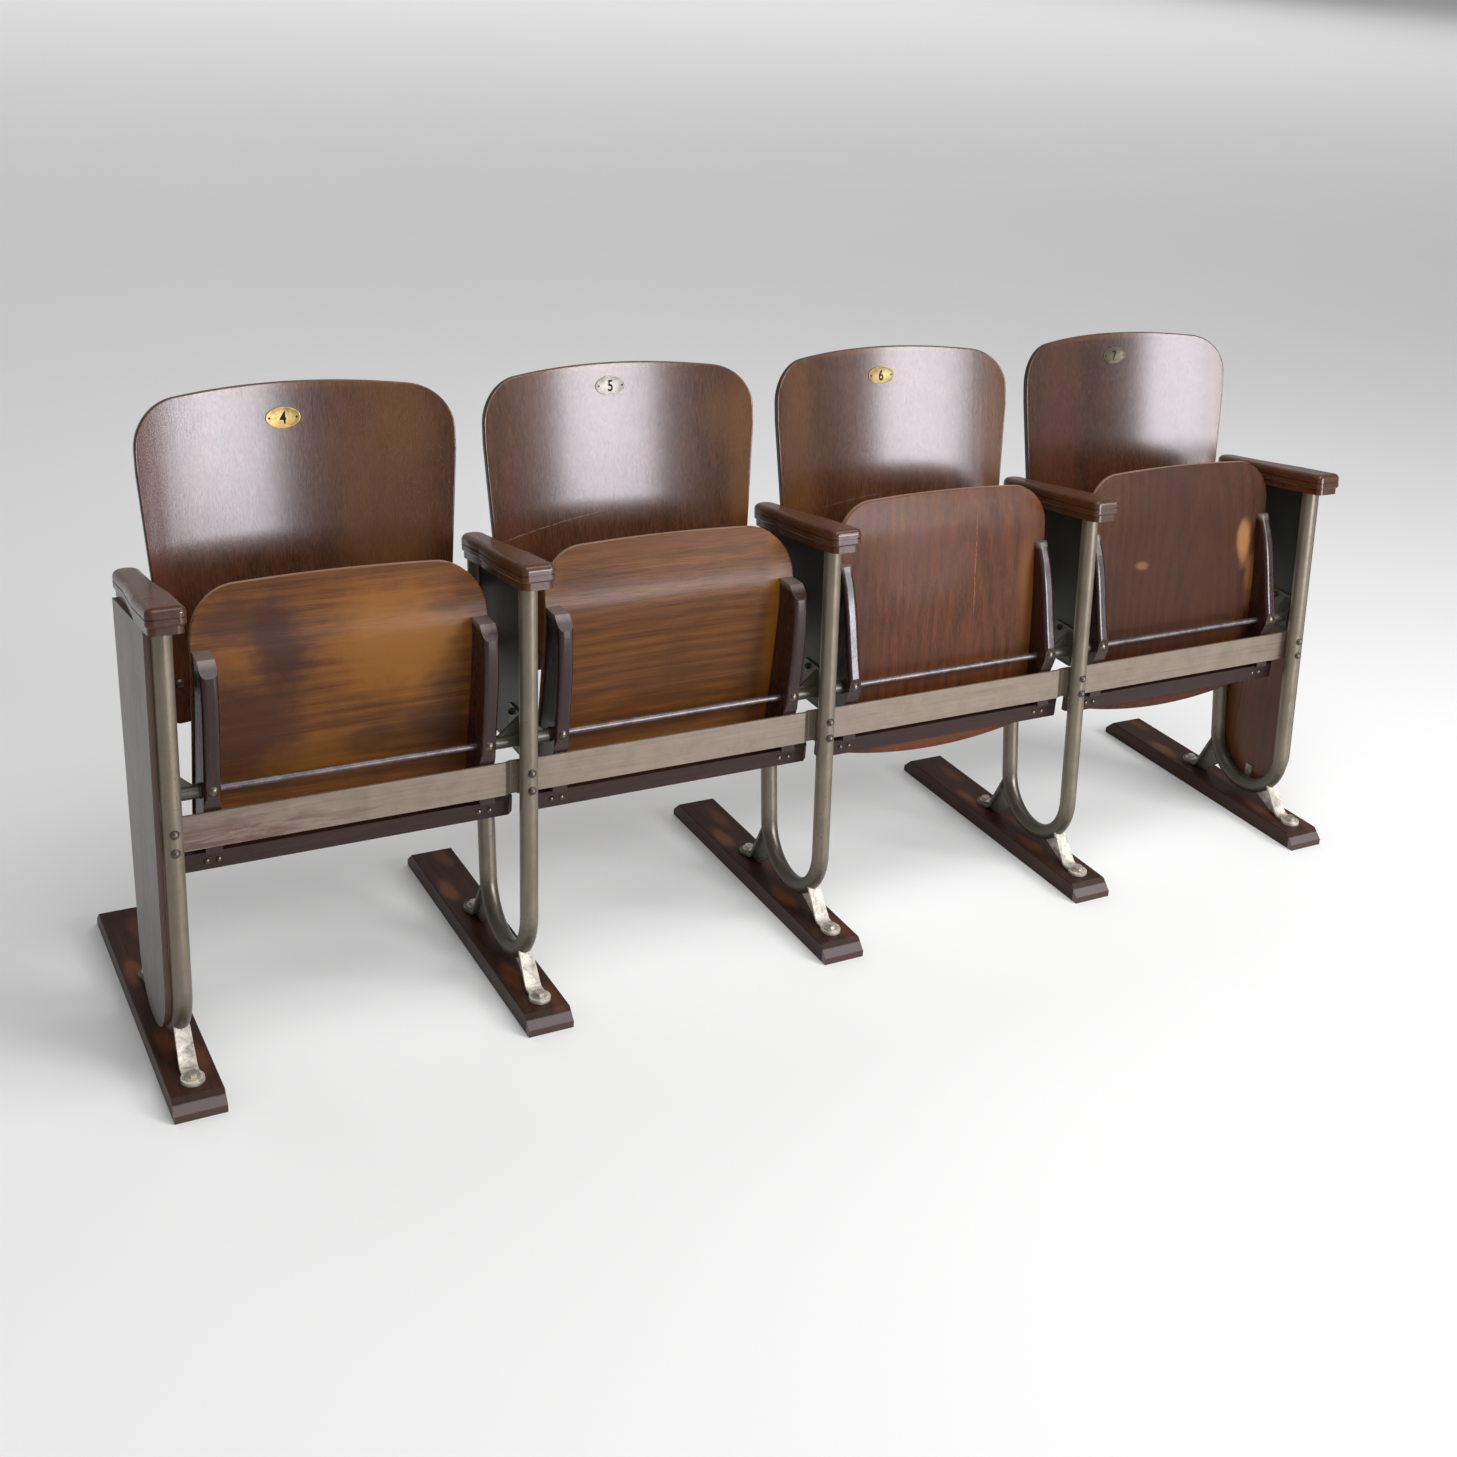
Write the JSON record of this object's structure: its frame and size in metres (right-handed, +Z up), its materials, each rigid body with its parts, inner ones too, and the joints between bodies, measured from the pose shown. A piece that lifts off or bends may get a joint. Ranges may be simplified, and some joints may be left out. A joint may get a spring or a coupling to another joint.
{
  "type": "cinema bench",
  "caption": "Free-standing row of wooden tip-up cinema seats on bent steel tube standards, with armrests, plywood backs and wooden skids.",
  "frame": {"origin": "on the floor, under the middle of the row's box", "axes": "+X along the row, -Y is the seats' front, +Z up"},
  "size_m": [2.07, 0.536, 0.8769],
  "materials": {
    "skid_wood": "matt stained hardwood",
    "arm_wood": "glossy varnish",
    "back_wood": "glossy varnish on plywood",
    "seat_wood": "glossy varnish on plywood",
    "rail_wood": "glossy varnish",
    "board_wood": "worn varnish",
    "end_wood": "satin varnish on plywood",
    "grey_paint": "old chipped semi-gloss paint",
    "strap_paint": "satin paint with rust streaks",
    "dark_sheet": "worn dull paint",
    "bare_iron": "worn bare steel",
    "plate_brass": "aged, stamped"
  },
  "bodies": {
    "frame": {"armrest_1": "arm_wood", "armrest_2": "arm_wood", "armrest_3": "arm_wood", "armrest_4": "arm_wood", "armrest_5": "arm_wood", "armrest_screws": "bare_iron", "back_1": "back_wood", "back_2": "back_wood", "back_3": "back_wood", "back_4": "back_wood", "back_bolts": "bare_iron", "back_brackets": "grey_paint", "bracket_bolts": "bare_iron", "end_panel_clips": "bare_iron", "end_panel_left": "end_wood", "end_panel_right": "end_wood", "foot_irons": "bare_iron", "foot_screws": "bare_iron", "hinge_brackets": "grey_paint", "number_plates": "plate_brass", "side_sheet_1": "dark_sheet", "side_sheet_2": "dark_sheet", "side_sheet_3": "dark_sheet", "side_sheet_4": "dark_sheet", "side_sheet_5": "dark_sheet", "skid_1": "skid_wood", "skid_2": "skid_wood", "skid_3": "skid_wood", "skid_4": "skid_wood", "skid_5": "skid_wood", "standard_tube_1": "grey_paint", "standard_tube_2": "grey_paint", "standard_tube_3": "grey_paint", "standard_tube_4": "grey_paint", "standard_tube_5": "grey_paint", "strap_1": "strap_paint", "strap_2": "strap_paint", "strap_3": "strap_paint", "strap_4": "strap_paint", "strap_bolts": "bare_iron"},
    "seat_1": {"axle_rod_1": "bare_iron", "cross_board_1": "board_wood", "seat_fasteners_1": "bare_iron", "seat_panel_1": "seat_wood", "seat_rails_1": "rail_wood"},
    "seat_2": {"axle_rod_2": "bare_iron", "cross_board_2": "board_wood", "seat_fasteners_2": "bare_iron", "seat_panel_2": "seat_wood", "seat_rails_2": "rail_wood"},
    "seat_3": {"axle_rod_3": "bare_iron", "cross_board_3": "board_wood", "seat_fasteners_3": "bare_iron", "seat_panel_3": "seat_wood", "seat_rails_3": "rail_wood"},
    "seat_4": {"axle_rod_4": "bare_iron", "cross_board_4": "board_wood", "seat_fasteners_4": "bare_iron", "seat_panel_4": "seat_wood", "seat_rails_4": "rail_wood"}
  },
  "joints": [
    {"name": "seat_1_tip", "type": "hinge", "parent": "frame", "child": "seat_1", "pos_m": [-0.75, -0.116, 0.403], "axis": [1, 0, 0], "range_deg": [0, 90]},
    {"name": "seat_2_tip", "type": "hinge", "parent": "frame", "child": "seat_2", "pos_m": [-0.25, -0.116, 0.403], "axis": [1, 0, 0], "range_deg": [0, 90]},
    {"name": "seat_3_tip", "type": "hinge", "parent": "frame", "child": "seat_3", "pos_m": [0.25, -0.116, 0.403], "axis": [1, 0, 0], "range_deg": [0, 90]},
    {"name": "seat_4_tip", "type": "hinge", "parent": "frame", "child": "seat_4", "pos_m": [0.75, -0.116, 0.403], "axis": [1, 0, 0], "range_deg": [0, 90]}
  ]
}
